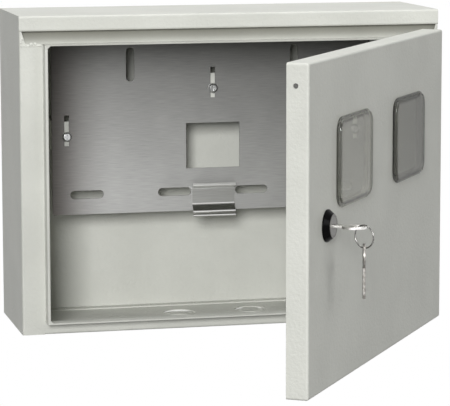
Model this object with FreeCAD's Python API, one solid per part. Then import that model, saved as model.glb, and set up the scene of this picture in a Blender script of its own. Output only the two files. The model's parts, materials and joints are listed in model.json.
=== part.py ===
import FreeCAD, Part
import math
import os

from FreeCAD import Vector

# Steel meter box for two electricity meters, in millimetres.
# The origin is the centre of the back face, where the box meets the wall.
# +X is to the right, +Y into the wall and +Z up, so the door faces -Y.

# Sheet and folds
sheet = 1.2
bend_radius = 1.0

# How far a shape that cuts reaches past the piece it cuts
cut_margin = 1.0

# Mounting plate: two meters side by side set the width of everything else
meter_offset = 85.0
lower_slot_spread = 45.0
slot_length = 34.0
slot_width = 8.3
plate_end_margin = 18.0
plate_width = 2 * (meter_offset + lower_slot_spread + slot_length / 2 + plate_end_margin)
plate_height = 190.0
plate_sheet = 1.5
plate_side_gap = 45.0
plate_roof_gap = 16.0
plate_standoff = 39.3
plate_corner_radius = 2.0
upper_slot_drop = 40.0
lower_slot_rise = 20.0
plate_window_width = 55.5
plate_window_height = 46.0
plate_window_rise = 66.5
plate_window_radius = 0.6

# Plate screws, each in a narrow upright slot
screw_slot_width = 4.8
screw_slot_length = 31.0
side_screw_inset = 15.0
side_screw_rise = 79.0
middle_screw_rise = 124.5
screw_above_slot_end = 9.6
screw_radius = 2.1
screw_length = 10.0
screw_head_radius = 4.8
screw_head_height = 3.0
screw_head_bevel = 1.6
screw_recess_width = 1.1
screw_recess_length = 5.0
screw_recess_depth = 1.3
thread_clearance = 0.05

# Stand-off brackets behind the plate
bracket_sheet = 1.5
bracket_height = 30.0
bracket_face_width = 25.0
bracket_foot_width = 14.5

# Short top-hat rail
rail_length = 44.0
rail_height = 35.0
rail_depth = 7.5
rail_sheet = 1.0
rail_bend_radius = 3.5
rail_flange_height = 5.0
rail_riser_slope = 3.5
rail_plate_lap = 2.3

# Box
box_width = plate_width + 2 * plate_side_gap
box_height = 310.0
box_depth = 128.0
flange_width = 22.8
lip_height = 14.0
hood_height = 15.0
gutter_depth = 8.0
roof_to_opening = 28.0
floor_to_opening = 13.0
lip_corner_size = 4.0
tongue_top_width = 2.4
tongue_foot_width = 6.0
back_foot_depth = 12.0

# Holes through the back wall, hidden by the plate
wall_hole_radius = 4.0
wall_hole_spacing_x = 240.0
wall_hole_spacing_z = 140.0
wall_hole_drop = 110.0

# Double knockouts in the floor
knockout_offset = 37.5
knockout_setback = 50.0
knockout_radius = 16.5
knockout_core_radius = 11.3
knockout_slit = 0.7
knockout_tab_width = 4.0
knockout_tab_lap = 1.2
knockout_ring_drop = 0.5
knockout_ring_tilt = 4.0
knockout_core_tilt = 5.0

# Door tray
door_side_inset = 2.0
door_foot_gap = 3.0
door_hood_gap = 4.0
door_flange_gap = 2.0
door_depth = 20.0
door_edge_radius = 2.2
door_corner_radius = 1.8
seal_hole_radius = 2.3
seal_hole_depth = 11.7
seal_hole_drop = 19.4
gasket_width = 10.0
gasket_clearance = 0.3

# Hinges inside the tray
pivot_side_inset = 5.5
pivot_front_inset = 5.0
lip_swing_clearance = 0.5
hinge_end_distance = 60.0
hinge_height = 36.0
hinge_gap = 0.3
hinge_pin_radius = 1.5
hinge_bore_clearance = 0.05
hinge_knuckle_gap = 0.6
hinge_leaf_sheet = 1.5
hinge_leaf_width = 7.0
hinge_body_knuckle = 16.0
hinge_arm_sheet = 2.0
hinge_foot_width = 12.0
hinge_notch_margin = 2.0
hinge_notch_floor = 0.2
hinge_head_radius = 2.6
hinge_head_height = 1.2
door_open_angle = 56.2
door_full_angle = 105.0

# Clear windows that snap into the door
window_width = 96.0
window_height = 80.0
window_top_drop = 53.0
window_corner_radius = 13.0
window_flange_width = 3.0
window_flange_height = 1.5
window_dome_height = 2.5
window_bevel = 3.0
window_skin = 1.5
window_skirt_clearance = 0.2
window_skirt_depth = 2.4
window_clip_width = 5.0
window_clip_spread = 11.0
window_clip_reach = 1.0
window_seal_height = 0.8
window_seal_inset = 1.0

# Cam lock
lock_edge_distance = 50.0
escutcheon_radius = 14.25
escutcheon_nose_wall = 1.53
escutcheon_rim_height = 1.2
escutcheon_height = 6.0
barrel_radius = 9.4
barrel_flat = 8.3
barrel_hole_clearance = 0.1
plug_head_radius = 8.8
plug_head_depth = 3.0
plug_head_stand = 0.2
plug_radius = 7.0
plug_clearance = 0.07
plug_drive_size = 6.4
drive_clearance = 0.05
lock_nut_flats = 23.0
lock_nut_height = 4.0
cam_sheet = 2.0
cam_flange_gap = 1.5
cam_overlap = 8.0
cam_width = 15.0
cam_barrel_gap = 0.1
cam_washer_radius = 6.0
cam_washer_height = 1.0
cam_screw_radius = 2.45
cam_screw_depth = 8.0
cam_screw_tip_room = 0.5
cam_screw_flats = 8.0
cam_screw_head = 3.5

# Keys and ring
key_sheet = 2.2
key_blade_width = 8.0
key_insertion = 19.0
key_neck = 7.5
key_slot_clearance = 0.2
key_slot_spare_depth = 2.0
key_bow_radius = 10.7
key_hole_radius = 4.0
key_strip = 3.0
key_bit_width = 2.2
key_bit_depth = 1.4
key_bit_count = 4
key_bit_shallow_share = 0.6
ring_radius = 9.9
ring_wire_radius = 0.6
ring_wire_sides = 8
ring_clearance = 0.3
spare_key_turn = 19.0

# Earth studs
stud_radius = 3.0
stud_side_inset = 60.0
stud_rise = 40.0
body_stud_length = 18.0
door_stud_length = 12.0
stud_nut_flats = 10.0
stud_nut_height = 5.0
stud_washer_radius = 6.0
stud_washer_height = 1.2
stud_nut_clearance = 0.05

# Places worked out from the sizes above
left = -box_width / 2
right = box_width / 2
floor = -box_height / 2
roof = box_height / 2
front = -box_depth
back_inside = -sheet
flange_back = front + sheet
hood_bottom = roof - hood_height
opening_top = roof - roof_to_opening
opening_bottom = floor + floor_to_opening
lip_front = front - lip_height
door_left = left + door_side_inset
door_right = right - door_side_inset
door_bottom = floor + door_foot_gap
door_top = hood_bottom - door_hood_gap
door_back = front - door_flange_gap
door_front = door_back - door_depth
door_inside = door_front + sheet
pivot_x = door_right - pivot_side_inset
pivot_y = door_front + pivot_front_inset
swing_radius = math.hypot(pivot_side_inset, door_depth - pivot_front_inset)
hinge_lip = pivot_x - swing_radius - lip_swing_clearance
free_lip = left + flange_width
plate_front = back_inside - plate_standoff - plate_sheet
plate_back = back_inside - plate_standoff
plate_top = roof - plate_roof_gap
plate_bottom = plate_top - plate_height
lock_x = door_left + lock_edge_distance
lock_z = (door_top + door_bottom) / 2
cam_front = flange_back + cam_flange_gap
escutcheon_nose_radius = plug_head_radius + plug_clearance + escutcheon_nose_wall
head_front = door_front - escutcheon_height - plug_head_stand
key_shoulder = head_front - key_neck
key_end = key_shoulder - 2 * key_bow_radius
ring_y = key_end + key_strip / 2
ring_inner = ring_radius - ring_wire_radius
ring_drop = math.sqrt(ring_inner ** 2 - (key_strip / 2) ** 2) - key_sheet / 2 - ring_clearance
ring_z = lock_z - ring_drop


# General shapes
def block(x0, x1, y0, y1, z0, z1):
    return Part.makeBox(x1 - x0, y1 - y0, z1 - z0, Vector(x0, y0, z0))


def rod(radius, start, end):
    direction = end - start
    return Part.makeCylinder(radius, direction.Length, start, direction)


def across(x):
    """Places a section's two measures along Y and Z, at one X."""
    return lambda a, b: Vector(x, a, b)


def level(z):
    """Places a section's two measures along X and Y, at one Z."""
    return lambda a, b: Vector(a, b, z)


def facing(y):
    """Places a section's two measures along X and Z, at one Y."""
    return lambda a, b: Vector(a, y, b)


def face_from_edges(edges):
    return Part.Face(Part.Wire(Part.sortEdges(edges)[0]))


def polygon_face(points, place):
    corners = [place(a, b) for a, b in points]
    return Part.Face(Part.makePolygon(corners + corners[:1]))


def side_of_sheet(path, offset, middle_radius, place):
    """Edges of one side of a folded sheet, and the side's two ends."""
    steps = []
    for (a0, b0), (a1, b1) in zip(path, path[1:]):
        length = math.hypot(a1 - a0, b1 - b0)
        steps.append(((a1 - a0) / length, (b1 - b0) / length))
    normals = [(-b, a) for a, b in steps]
    first = (path[0][0] + offset * normals[0][0], path[0][1] + offset * normals[0][1])
    start = first
    edges = []
    for corner, d0, d1, n0, n1 in zip(path[1:], steps, steps[1:], normals, normals[1:]):
        turn = math.atan2(d0[0] * d1[1] - d0[1] * d1[0], d0[0] * d1[0] + d0[1] * d1[1])
        side = math.copysign(1.0, turn)
        reach = middle_radius * math.tan(abs(turn) / 2)
        enter = (corner[0] - reach * d0[0], corner[1] - reach * d0[1])
        leave = (corner[0] + reach * d1[0], corner[1] + reach * d1[1])
        centre = (enter[0] + side * middle_radius * n0[0], enter[1] + side * middle_radius * n0[1])
        span = math.hypot(corner[0] - centre[0], corner[1] - centre[1])
        radius = middle_radius - side * offset
        a = (enter[0] + offset * n0[0], enter[1] + offset * n0[1])
        b = (leave[0] + offset * n1[0], leave[1] + offset * n1[1])
        crown = (centre[0] + radius * (corner[0] - centre[0]) / span,
                 centre[1] + radius * (corner[1] - centre[1]) / span)
        edges.append(Part.LineSegment(place(*start), place(*a)).toShape())
        edges.append(Part.Arc(place(*a), place(*crown), place(*b)).toShape())
        start = b
    end = (path[-1][0] + offset * normals[-1][0], path[-1][1] + offset * normals[-1][1])
    edges.append(Part.LineSegment(place(*start), place(*end)).toShape())
    return edges, first, end


def folded_section(path, thickness, inside_radius, place):
    """Section of a sheet folded along the middle line that path gives."""
    middle_radius = inside_radius + thickness / 2
    near, near_start, near_end = side_of_sheet(path, thickness / 2, middle_radius, place)
    far, far_start, far_end = side_of_sheet(path, -thickness / 2, middle_radius, place)
    caps = [Part.LineSegment(place(*near_start), place(*far_start)).toShape(),
            Part.LineSegment(place(*near_end), place(*far_end)).toShape()]
    return face_from_edges(near + far + caps)


def rounded_wire(x, z, width, height, radius, y):
    """Upright rectangle with round corners, centred on x and z."""
    w = width / 2
    h = height / 2
    bulge = radius * (1 - math.sqrt(0.5))
    edges = []
    corners = [(1, 1), (-1, 1), (-1, -1), (1, -1)]
    for i, (sx, sz) in enumerate(corners):
        vertical = Vector(x + sx * w, y, z + sz * (h - radius))
        crown = Vector(x + sx * (w - bulge), y, z + sz * (h - bulge))
        horizontal = Vector(x + sx * (w - radius), y, z + sz * h)
        edges.append(Part.Arc(vertical, crown, horizontal).toShape())
        tx, tz = corners[(i + 1) % 4]
        if sz == tz:
            ends = (horizontal, Vector(x + tx * (w - radius), y, z + tz * h))
        else:
            ends = (vertical, Vector(x + tx * w, y, z + tz * (h - radius)))
        edges.append(Part.LineSegment(*ends).toShape())
    return Part.Wire(Part.sortEdges(edges)[0])


def rounded_block(x, z, width, height, radius, y0, y1):
    face = Part.Face(rounded_wire(x, z, width, height, radius, y0))
    return face.extrude(Vector(0, y1 - y0, 0))


def slot_block(x, z, length, width, upright, y0, y1):
    """Solid in the shape of a slot with half-round ends, along Z if upright, else along X."""
    radius = width / 2
    reach = length / 2 - radius

    def at(along, off):
        return Vector(x + off, y0, z + along) if upright else Vector(x + along, y0, z + off)

    edges = [Part.LineSegment(at(-reach, radius), at(reach, radius)).toShape(),
             Part.Arc(at(reach, radius), at(reach + radius, 0), at(reach, -radius)).toShape(),
             Part.LineSegment(at(reach, -radius), at(-reach, -radius)).toShape(),
             Part.Arc(at(-reach, -radius), at(-reach - radius, 0), at(-reach, radius)).toShape()]
    return face_from_edges(edges).extrude(Vector(0, y1 - y0, 0))


def hexagon(x, z, flats, y0, y1):
    reach = flats / math.sqrt(3)
    points = [(x + reach * math.cos(math.radians(60 * k)), z + reach * math.sin(math.radians(60 * k)))
              for k in range(6)]
    return polygon_face(points, facing(y0)).extrude(Vector(0, y1 - y0, 0))


# Box
def body_wrap():
    """Back and sides from one sheet, with the side flanges and lips."""
    half = sheet / 2
    path = [(free_lip + half, lip_front), (free_lip + half, front + half), (left + half, front + half),
            (left + half, -half), (right - half, -half), (right - half, front + half),
            (hinge_lip - half, front + half), (hinge_lip - half, lip_front)]
    wrap = folded_section(path, sheet, bend_radius, level(floor)).extrude(Vector(0, 0, box_height - sheet))
    rim_back = flange_back + bend_radius
    for lip_outside, side in ((free_lip, -1), (hinge_lip, 1)):
        wrap = wrap.cut(above_side_flange(side, rim_back))
        flat_end = lip_outside + side * bend_radius
        inner = sorted((flat_end, 0.0))
        wrap = wrap.cut(block(inner[0], inner[1], lip_front - cut_margin, rim_back, opening_top, roof))
        wrap = wrap.cut(block(inner[0], inner[1], lip_front - cut_margin, rim_back, floor, opening_bottom))
    wrap = wrap.cut(block(left, right, front - cut_margin, flange_back, hood_bottom, roof))
    wrap = wrap.cut(block(left + sheet, right - sheet, back_inside - cut_margin, cut_margin,
                          floor - cut_margin, floor + sheet))
    foot = block(left + sheet, right - sheet, back_inside - back_foot_depth, -half,
                 floor + sheet, floor + 2 * sheet)
    wrap = wrap.fuse(foot)
    for x in (-wall_hole_spacing_x / 2, wall_hole_spacing_x / 2):
        for z in wall_hole_heights():
            hole = rod(wall_hole_radius, Vector(x, back_inside - cut_margin, z), Vector(x, cut_margin, z))
            wrap = wrap.cut(hole)
    return wrap.removeSplitter()


def wall_hole_heights():
    middle = roof - wall_hole_drop
    return (middle - wall_hole_spacing_z / 2, middle + wall_hole_spacing_z / 2)


def above_side_flange(side, rim_back):
    """Room above a side flange for the band, which leaves a tapered tongue at the corner."""
    seam = opening_top + sheet
    edge = side * box_width / 2
    points = [(0, seam), (edge - side * tongue_foot_width, seam),
              (edge - side * tongue_top_width, hood_bottom), (edge - side * tongue_top_width, roof),
              (0, roof)]
    start = lip_front - cut_margin
    return polygon_face(points, facing(start)).extrude(Vector(0, rim_back - start, 0))


def lip_corners(z, down):
    """Welded corners of the opening, where a level lip meets the upright lips."""
    size = lip_corner_size
    shapes = []
    for x, inward in ((free_lip + sheet, 1), (hinge_lip - sheet, -1)):
        points = [(x, z), (x + inward * size, z), (x, z + down * size)]
        shapes.append(polygon_face(points, facing(lip_front)).extrude(Vector(0, lip_height, 0)))
    return shapes


def top_panel(wrap):
    """Roof, hood face, gutter, set-back band and top lip from one sheet."""
    half = sheet / 2
    lip_middle = opening_top + half
    path = [(0, roof - half), (front + half, roof - half), (front + half, hood_bottom + half),
            (front + gutter_depth, hood_bottom + half), (front + half, lip_middle),
            (lip_front, lip_middle)]
    panel = folded_section(path, sheet, bend_radius, across(left)).extrude(Vector(box_width, 0, 0))
    for side, lip_outside in ((-1, free_lip), (1, hinge_lip)):
        edge = side * box_width / 2
        wall = sorted((edge, edge - side * sheet))
        panel = panel.cut(block(wall[0], wall[1], flange_back, cut_margin, floor, roof - sheet))
        flat = sorted((edge, lip_outside + side * bend_radius))
        panel = panel.cut(block(flat[0], flat[1], lip_front - cut_margin, 0, floor, opening_top + sheet))
        beyond_lip = sorted((edge, lip_outside))
        panel = panel.cut(block(beyond_lip[0], beyond_lip[1], lip_front - cut_margin, front,
                                floor, hood_bottom))
    panel = panel.cut(wrap)
    panel = max(panel.Solids, key=lambda solid: solid.Volume)
    for corner in lip_corners(opening_top, -1):
        panel = panel.fuse(corner)
    return panel.removeSplitter()


def knockout(x):
    """Half-sheared double knockout: a ring that dips at the back, and a core that dips or rises."""
    centre = Vector(x, -knockout_setback, floor)
    up = Vector(0, 0, 1)
    along_x = Vector(1, 0, 0)
    ring = Part.makeCylinder(knockout_radius - knockout_slit, sheet, centre, up)
    ring = ring.cut(Part.makeCylinder(knockout_core_radius, sheet, centre, up))
    ring.rotate(centre, along_x, -knockout_ring_tilt)
    ring.translate(Vector(0, 0, -knockout_ring_drop))
    core = Part.makeCylinder(knockout_core_radius - knockout_slit, sheet, centre, up)
    core.rotate(centre, along_x, math.copysign(knockout_core_tilt, x))
    core.translate(Vector(0, 0, -knockout_ring_drop))
    return [ring, core] + knockout_tabs(centre)


def knockout_tabs(centre):
    """Two uncut tabs at each slit, at the ends of the line about which the discs tilt."""
    tabs = []
    for radius in (knockout_radius, knockout_core_radius):
        for side in (0, 180):
            tab = block(radius - knockout_slit - knockout_tab_lap, radius + knockout_tab_lap,
                        -knockout_tab_width / 2, knockout_tab_width / 2, -knockout_ring_drop, sheet)
            tab.rotate(Vector(0, 0, 0), Vector(0, 0, 1), side)
            tab.translate(centre)
            tabs.append(tab)
    return tabs


def bottom_panel(wrap):
    """Floor, front flange and bottom lip from one sheet."""
    half = sheet / 2
    lip_middle = opening_bottom - half
    path = [(0, floor + half), (front + half, floor + half), (front + half, lip_middle),
            (lip_front, lip_middle)]
    start = left + sheet
    panel = folded_section(path, sheet, bend_radius, across(start))
    panel = panel.extrude(Vector(box_width - 2 * sheet, 0, 0))
    for side, lip_outside in ((-1, free_lip), (1, hinge_lip)):
        edge = side * box_width / 2
        flat = sorted((edge, lip_outside + side * bend_radius))
        panel = panel.cut(block(flat[0], flat[1], lip_front - cut_margin, flange_back,
                                floor - cut_margin, roof))
        panel = panel.cut(block(flat[0], flat[1], lip_front - cut_margin, 0, floor + sheet, roof))
        beyond_lip = sorted((edge, lip_outside))
        panel = panel.cut(block(beyond_lip[0], beyond_lip[1], lip_front - cut_margin, front, floor, roof))
    panel = panel.cut(wrap)
    panel = max(panel.Solids, key=lambda solid: solid.Volume)
    for x in (-knockout_offset, knockout_offset):
        below = Vector(x, -knockout_setback, floor - cut_margin)
        above = Vector(x, -knockout_setback, floor + sheet + cut_margin)
        panel = panel.cut(rod(knockout_radius, below, above))
        panel = panel.multiFuse(knockout(x))
    for corner in lip_corners(opening_bottom, 1):
        panel = panel.fuse(corner)
    return panel.removeSplitter()


# Plate, brackets and rail
def screw_places():
    """X, screw height and slot centre of the left, middle and right plate screws."""
    side = plate_width / 2 - side_screw_inset
    to_centre = screw_slot_length / 2 - screw_above_slot_end
    places = []
    for x, rise in ((-side, side_screw_rise), (0.0, middle_screw_rise), (side, side_screw_rise)):
        z = plate_bottom + rise
        places.append((x, z, z + to_centre))
    return places


def mounting_plate():
    middle = (plate_top + plate_bottom) / 2
    y0 = plate_front - cut_margin
    y1 = plate_back + cut_margin
    plate = rounded_block(0, middle, plate_width, plate_height, plate_corner_radius, plate_front, plate_back)
    for meter in (-meter_offset, meter_offset):
        upper_z = plate_top - upper_slot_drop
        plate = plate.cut(slot_block(meter, upper_z, slot_length, slot_width, True, y0, y1))
        for spread in (-lower_slot_spread, lower_slot_spread):
            lower_z = plate_bottom + lower_slot_rise
            plate = plate.cut(slot_block(meter + spread, lower_z, slot_length, slot_width, False, y0, y1))
    plate = plate.cut(rounded_block(0, plate_bottom + plate_window_rise, plate_window_width,
                                    plate_window_height, plate_window_radius, y0, y1))
    for x, _, slot_z in screw_places():
        plate = plate.cut(block(x - screw_slot_width / 2, x + screw_slot_width / 2, y0, y1,
                                slot_z - screw_slot_length / 2, slot_z + screw_slot_length / 2))
    return plate


def plate_bracket(x, z):
    """Hat-shaped strip from the back wall to the plate, with a hole for its screw."""
    half = bracket_sheet / 2
    foot = back_inside - half
    face = plate_back + half
    inner = bracket_face_width / 2 - half
    outer = bracket_face_width / 2 + bracket_foot_width
    path = [(x - outer, foot), (x - inner, foot), (x - inner, face), (x + inner, face),
            (x + inner, foot), (x + outer, foot)]
    section = folded_section(path, bracket_sheet, bend_radius, level(z - bracket_height / 2))
    bracket = section.extrude(Vector(0, 0, bracket_height))
    hole = rod(screw_radius + thread_clearance, Vector(x, plate_back - cut_margin, z),
               Vector(x, plate_back + bracket_sheet + cut_margin, z))
    return bracket.cut(hole)


def plate_screw(x, z):
    """Pan-head screw with a cross recess, seated on the plate."""
    out = Vector(0, -1, 0)
    screw = rod(screw_radius, Vector(x, plate_front, z), Vector(x, plate_front + screw_length, z))
    rim = screw_head_height / 2
    screw = screw.fuse(Part.makeCylinder(screw_head_radius, rim, Vector(x, plate_front, z), out))
    screw = screw.fuse(Part.makeCone(screw_head_radius, screw_head_radius - screw_head_bevel, rim,
                                     Vector(x, plate_front - rim, z), out))
    top = plate_front - screw_head_height - cut_margin
    deep = plate_front - screw_head_height + screw_recess_depth
    long = screw_recess_length / 2
    thin = screw_recess_width / 2
    screw = screw.cut(block(x - long, x + long, top, deep, z - thin, z + thin))
    screw = screw.cut(block(x - thin, x + thin, top, deep, z - long, z + long))
    return screw.removeSplitter()


def rail():
    """Top-hat rail whose web lies on the plate."""
    half = rail_sheet / 2
    web = plate_front - half
    rim = plate_front - rail_depth + half
    edge = rail_height / 2
    inner = edge - rail_flange_height
    step = inner - rail_riser_slope
    middle = plate_bottom + rail_plate_lap + step + half
    path = [(rim, middle + edge), (rim, middle + inner), (web, middle + step),
            (web, middle - step), (rim, middle - inner), (rim, middle - edge)]
    section = folded_section(path, rail_sheet, rail_bend_radius, across(-rail_length / 2))
    return section.extrude(Vector(rail_length, 0, 0))


# Earth studs: root is the sheet's face, out is +1 or -1 along Y
def earth_stud(x, z, root, length, out):
    return rod(stud_radius, Vector(x, root, z), Vector(x, root + out * length, z))


def earth_washer(x, z, root, out):
    hole = stud_radius + stud_nut_clearance
    start = Vector(x, root, z)
    end = Vector(x, root + out * stud_washer_height, z)
    return rod(stud_washer_radius, start, end).cut(rod(hole, start, end))


def earth_nut(x, z, root, out):
    y0 = root + out * stud_washer_height
    y1 = y0 + out * stud_nut_height
    hole = rod(stud_radius + stud_nut_clearance, Vector(x, y0, z), Vector(x, y1, z))
    return hexagon(x, z, stud_nut_flats, y0, y1).cut(hole)


# Door, drawn closed and swung open at the end
def hinge_heights():
    return {"lower": door_bottom + hinge_end_distance, "upper": door_top - hinge_end_distance}


def door_panel():
    tray = block(door_left, door_right, door_front, door_back, door_bottom, door_top)
    rim = [e for e in tray.Edges if all(abs(v.Y - door_front) < 0.01 for v in e.Vertexes)]
    tray = tray.makeFillet(door_edge_radius, rim + depth_edges(tray))
    hollow = block(door_left + sheet, door_right - sheet, door_inside, door_back + cut_margin,
                   door_bottom + sheet, door_top - sheet)
    tray = tray.cut(hollow.makeFillet(bend_radius, inner_edges(hollow)))
    tray = tray.cut(lock_hole())
    for x in (-meter_offset, meter_offset):
        tray = tray.cut(window_cutout(x))
    for z in hinge_heights().values():
        reach = hinge_body_knuckle / 2 + hinge_notch_margin
        tray = tray.cut(block(door_right - sheet - bend_radius - cut_margin, door_right + cut_margin,
                              door_inside + hinge_notch_floor, door_back + cut_margin,
                              z - reach, z + reach))
    z = door_top - seal_hole_drop
    y = door_front + seal_hole_depth
    start = Vector(door_left - cut_margin, y, z)
    return tray.cut(rod(seal_hole_radius, start, Vector(door_left + sheet + cut_margin, y, z)))


def depth_edges(tray):
    return [e for e in tray.Edges if abs(e.Vertexes[0].Y - e.Vertexes[1].Y) > 1]


def inner_edges(hollow):
    bottom = [e for e in hollow.Edges if all(abs(v.Y - door_inside) < 0.01 for v in e.Vertexes)]
    return bottom + depth_edges(hollow)


def door_gasket():
    """Foam frame on the inside of the door, where the four lips press."""
    half = sheet / 2
    spread = gasket_width / 2
    x0 = free_lip + half
    x1 = hinge_lip - half
    z0 = opening_bottom - half
    z1 = opening_top + half
    y1 = lip_front - gasket_clearance
    outer = block(x0 - spread, x1 + spread, door_inside, y1, z0 - spread, z1 + spread)
    inner = block(x0 + spread, x1 - spread, door_inside, y1, z0 + spread, z1 - spread)
    return outer.cut(inner)


# Windows
def window_z():
    return door_top - window_top_drop - window_height / 2


def skirt_size():
    margin = 2 * (window_flange_width + window_skin)
    return window_width - margin, window_height - margin


def window_cutout(x):
    width, height = skirt_size()
    grow = 2 * window_skirt_clearance
    radius = window_corner_radius - window_flange_width - window_skin
    return rounded_block(x, window_z(), width + grow, height + grow, radius + window_skirt_clearance,
                         door_front - cut_margin, door_inside + cut_margin)


def window_pane(x):
    """Clear moulding: flange on the seal, raised pane with a bevelled rim, skirt and clips."""
    z = window_z()
    flange_front = door_front - window_seal_height - window_flange_height
    crown = flange_front - window_dome_height
    flange = rounded_block(x, z, window_width, window_height, window_corner_radius,
                           door_front - window_seal_height, flange_front)
    dome_margin = 2 * window_flange_width
    dome_radius = window_corner_radius - window_flange_width
    foot = rounded_wire(x, z, window_width - dome_margin, window_height - dome_margin, dome_radius,
                        flange_front)
    top = rounded_wire(x, z, window_width - dome_margin - 2 * window_bevel,
                       window_height - dome_margin - 2 * window_bevel,
                       dome_radius - window_bevel / 2, crown)
    dome = Part.makeLoft([foot, top], True, True)
    width, height = skirt_size()
    skirt_radius = window_corner_radius - window_flange_width - window_skin
    skirt_end = door_inside + window_skirt_depth
    skirt = rounded_block(x, z, width, height, skirt_radius, flange_front, skirt_end)
    pane = flange.fuse(dome).fuse(skirt)
    hollow_width = width - 2 * window_skin
    hollow_height = height - 2 * window_skin
    pane = pane.cut(rounded_block(x, z, hollow_width, hollow_height, skirt_radius - window_skin / 2,
                                  crown + window_skin, skirt_end + cut_margin))
    hook_front = door_inside + window_skirt_clearance
    for side in (-1, 1):
        root = x + side * (width / 2 - window_skin / 2)
        tip = x + side * (width / 2 + window_clip_reach)
        span = sorted((root, tip))
        for rise in (-window_clip_spread, window_clip_spread):
            low = z + rise - window_clip_width / 2
            pane = pane.fuse(block(span[0], span[1], hook_front, skirt_end, low, low + window_clip_width))
    return pane.removeSplitter()


def window_seal(x):
    z = window_z()
    inset = 2 * window_seal_inset
    back = door_front - window_seal_height
    frame = rounded_block(x, z, window_width - inset, window_height - inset,
                          window_corner_radius - window_seal_inset, back, door_front)
    width, height = skirt_size()
    grow = 2 * window_skirt_clearance
    radius = window_corner_radius - window_flange_width - window_skin
    return frame.cut(rounded_block(x, z, width + grow, height + grow, radius + window_skirt_clearance,
                                   back - cut_margin, door_front + cut_margin))


# Hinges
def hinge_body_leaf(z):
    """Foot on the side flange, arm and middle knuckle."""
    low = z - hinge_body_knuckle / 2
    high = z + hinge_body_knuckle / 2
    radius = knuckle_radius()
    half = hinge_arm_sheet / 2
    leaf = rod(radius, Vector(pivot_x, pivot_y, low), Vector(pivot_x, pivot_y, high))
    leaf = leaf.fuse(block(pivot_x - half, pivot_x + half, pivot_y, front, low, high))
    leaf = leaf.fuse(block(pivot_x - hinge_foot_width, pivot_x + half, front - hinge_arm_sheet, front,
                           low, high))
    bore = hinge_pin_radius + hinge_bore_clearance
    leaf = leaf.cut(rod(bore, Vector(pivot_x, pivot_y, low - cut_margin),
                        Vector(pivot_x, pivot_y, high + cut_margin)))
    return leaf.removeSplitter()


def knuckle_radius():
    return pivot_front_inset - sheet - hinge_knuckle_gap


def hinge_door_leaf(z):
    """Leaf on the inside of the door, with a knuckle above and below the fixed one."""
    radius = knuckle_radius()
    reach = hinge_height / 2
    inner = hinge_body_knuckle / 2 + hinge_gap
    knuckle_front = pivot_y - radius
    leaf_right = pivot_x - radius - hinge_gap
    leaf = block(leaf_right - hinge_leaf_width, leaf_right, door_inside, door_inside + hinge_leaf_sheet,
                 z - reach, z + reach)
    bore = hinge_pin_radius + hinge_bore_clearance
    for low, high in ((z - reach, z - inner), (z + inner, z + reach)):
        leaf = leaf.fuse(block(leaf_right - hinge_leaf_sheet, pivot_x, knuckle_front,
                               knuckle_front + hinge_leaf_sheet, low, high))
        leaf = leaf.fuse(rod(radius, Vector(pivot_x, pivot_y, low), Vector(pivot_x, pivot_y, high)))
        leaf = leaf.cut(rod(bore, Vector(pivot_x, pivot_y, low), Vector(pivot_x, pivot_y, high)))
    return leaf.removeSplitter()


def hinge_pin(z):
    top = z + hinge_height / 2
    pin = rod(hinge_pin_radius, Vector(pivot_x, pivot_y, z - hinge_height / 2), Vector(pivot_x, pivot_y, top))
    head = rod(hinge_head_radius, Vector(pivot_x, pivot_y, top),
               Vector(pivot_x, pivot_y, top + hinge_head_height))
    return pin.fuse(head).removeSplitter()


# Lock
def along_lock(radius, y0, y1):
    return rod(radius, Vector(lock_x, y0, lock_z), Vector(lock_x, y1, lock_z))


def flats_block(flat, y0, y1):
    return block(lock_x - flat, lock_x + flat, y0, y1, lock_z - 2 * barrel_radius, lock_z + 2 * barrel_radius)


def lock_hole():
    radius = barrel_radius + barrel_hole_clearance
    y0 = door_front - cut_margin
    y1 = door_inside + cut_margin
    return along_lock(radius, y0, y1).common(flats_block(barrel_flat + barrel_hole_clearance, y0, y1))


def lock_housing():
    """Black escutcheon and threaded barrel with two flats."""
    nose = door_front - escutcheon_height
    rim = door_front - escutcheon_rim_height
    end = cam_front - cam_barrel_gap
    housing = along_lock(escutcheon_radius, door_front, rim)
    cone = Part.makeCone(escutcheon_radius, escutcheon_nose_radius, escutcheon_height - escutcheon_rim_height,
                         Vector(lock_x, rim, lock_z), Vector(0, -1, 0))
    barrel = along_lock(barrel_radius, door_front, end)
    barrel = barrel.common(flats_block(barrel_flat, door_front, end))
    housing = housing.fuse(cone).fuse(barrel)
    start = nose - cut_margin
    housing = housing.cut(along_lock(plug_radius + plug_clearance, start, end + cut_margin))
    housing = housing.cut(along_lock(plug_head_radius + plug_clearance, start, nose + plug_head_depth))
    return housing.removeSplitter()


def lock_nut():
    y1 = door_inside + lock_nut_height
    hole = along_lock(barrel_radius + plug_clearance, door_inside - cut_margin, y1 + cut_margin)
    return hexagon(lock_x, lock_z, lock_nut_flats, door_inside, y1).cut(hole)


def lock_plug():
    """Cylinder with a keyway in its face and a square drive for the cam."""
    head_back = door_front - escutcheon_height + plug_head_depth - plug_clearance
    plug = along_lock(plug_head_radius, head_front, head_back)
    plug = plug.fuse(along_lock(plug_radius, head_back, cam_front))
    drive = plug_drive_size / 2
    drive_end = cam_front + cam_sheet
    plug = plug.fuse(block(lock_x - drive, lock_x + drive, cam_front, drive_end,
                           lock_z - drive, lock_z + drive))
    wide = key_blade_width / 2 + key_slot_clearance
    thin = key_sheet / 2 + key_slot_clearance
    slot_end = head_front + key_insertion + key_slot_spare_depth
    plug = plug.cut(block(lock_x - wide, lock_x + wide, head_front - cut_margin, slot_end,
                          lock_z - thin, lock_z + thin))
    thread = cam_screw_radius + drive_clearance
    tip_room = drive_end - cam_screw_depth - cam_screw_tip_room
    plug = plug.cut(along_lock(thread, tip_room, drive_end + cut_margin))
    return plug.removeSplitter()


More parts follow.
